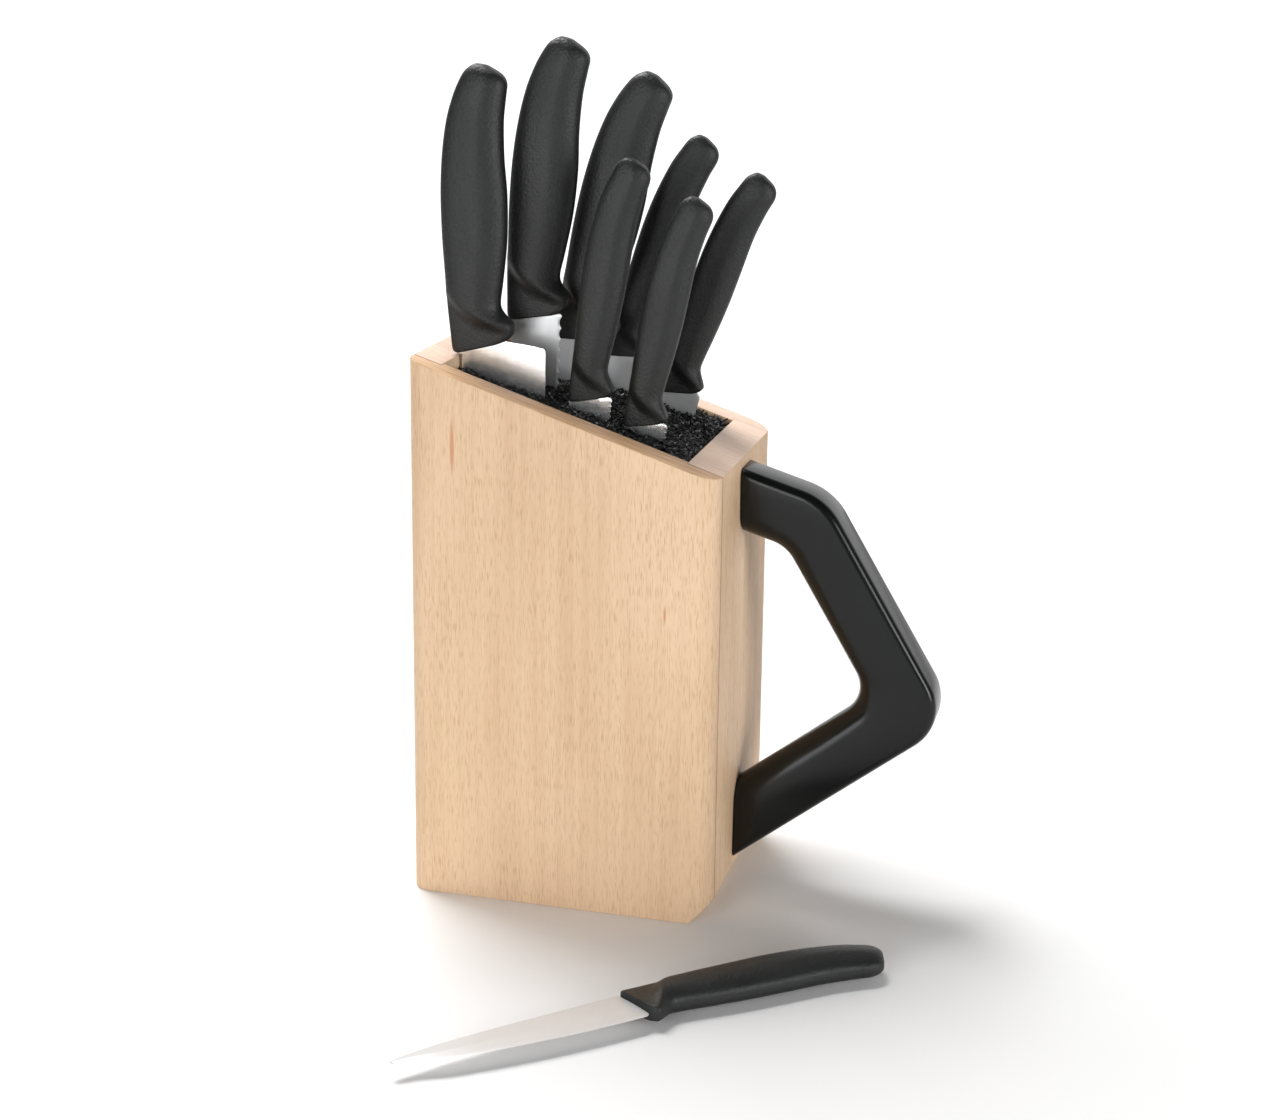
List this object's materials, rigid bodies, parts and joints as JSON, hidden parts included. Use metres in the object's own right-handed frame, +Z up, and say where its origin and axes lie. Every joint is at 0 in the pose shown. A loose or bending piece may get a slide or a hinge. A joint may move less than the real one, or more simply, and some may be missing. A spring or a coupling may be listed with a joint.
{
  "type": "knife block with knives",
  "caption": "Slanted beech knife block with a carrying handle, a bristle insert that holds moulded-handle kitchen knives, and a spare paring knife lying beside it.",
  "frame": {"origin": "centre of the block's underside, on the table", "axes": "+X towards the carrying handle, +Y away from the spare knife, +Z up"},
  "size_m": [0.2184, 0.2626, 0.3639],
  "materials": {
    "beech": "oiled, fine grain",
    "grip_plastic": "satin black",
    "screw_steel": "zinc plated",
    "tray_plastic": "matte black",
    "bristles": "dense black filaments",
    "blade_steel": "fine polished",
    "handle_plastic": "matte black, fine pebble"
  },
  "bodies": {
    "block": {"near_side_panel": "beech", "far_side_panel": "beech", "front_board": "beech", "rear_board": "beech", "base_board": "beech", "carry_handle": "grip_plastic", "handle_screw_1": "screw_steel", "handle_screw_2": "screw_steel", "handle_screw_3": "screw_steel", "handle_screw_4": "screw_steel", "bristle_tray": "tray_plastic", "bristle_bed_1": "bristles", "bristle_bed_2": "bristles", "bristle_bed_3": "bristles", "bristle_bed_4": "bristles", "bristle_bed_5": "bristles"},
    "chef_knife": {"chef_knife_blade": "blade_steel", "chef_knife_handle": "handle_plastic"},
    "tomato_knife": {"tomato_knife_blade": "blade_steel", "tomato_knife_handle": "handle_plastic"},
    "utility_knife": {"utility_knife_blade": "blade_steel", "utility_knife_handle": "handle_plastic"},
    "bread_knife": {"bread_knife_blade": "blade_steel", "bread_knife_handle": "handle_plastic"},
    "carving_knife": {"carving_knife_blade": "blade_steel", "carving_knife_handle": "handle_plastic"},
    "vegetable_knife": {"vegetable_knife_blade": "blade_steel", "vegetable_knife_handle": "handle_plastic"},
    "peeling_knife": {"peeling_knife_blade": "blade_steel", "peeling_knife_handle": "handle_plastic"},
    "paring_knife": {"paring_knife_blade": "blade_steel", "paring_knife_handle": "handle_plastic"}
  },
  "joints": [
    {"name": "chef_knife_draw", "type": "slide", "parent": "block", "child": "chef_knife", "axis": [0, 0, 1], "range_m": [0, 0.2]},
    {"name": "tomato_knife_draw", "type": "slide", "parent": "block", "child": "tomato_knife", "axis": [0.061, 0, 0.9981], "range_m": [0, 0.13]},
    {"name": "utility_knife_draw", "type": "slide", "parent": "block", "child": "utility_knife", "axis": [0.1097, 0, 0.994], "range_m": [0, 0.12]},
    {"name": "bread_knife_draw", "type": "slide", "parent": "block", "child": "bread_knife", "axis": [0, 0, 1], "range_m": [0, 0.21]},
    {"name": "carving_knife_draw", "type": "slide", "parent": "block", "child": "carving_knife", "axis": [0.1392, 0, 0.9903], "range_m": [0, 0.2]},
    {"name": "vegetable_knife_draw", "type": "slide", "parent": "block", "child": "vegetable_knife", "axis": [0.225, 0, 0.9744], "range_m": [0, 0.1]},
    {"name": "peeling_knife_draw", "type": "slide", "parent": "block", "child": "peeling_knife", "axis": [0.2368, 0, 0.9715], "range_m": [0, 0.11]},
    {"name": "paring_knife_lift", "type": "slide", "parent": "block", "child": "paring_knife", "axis": [0, 0, 1], "range_m": [0, 0.15]}
  ]
}
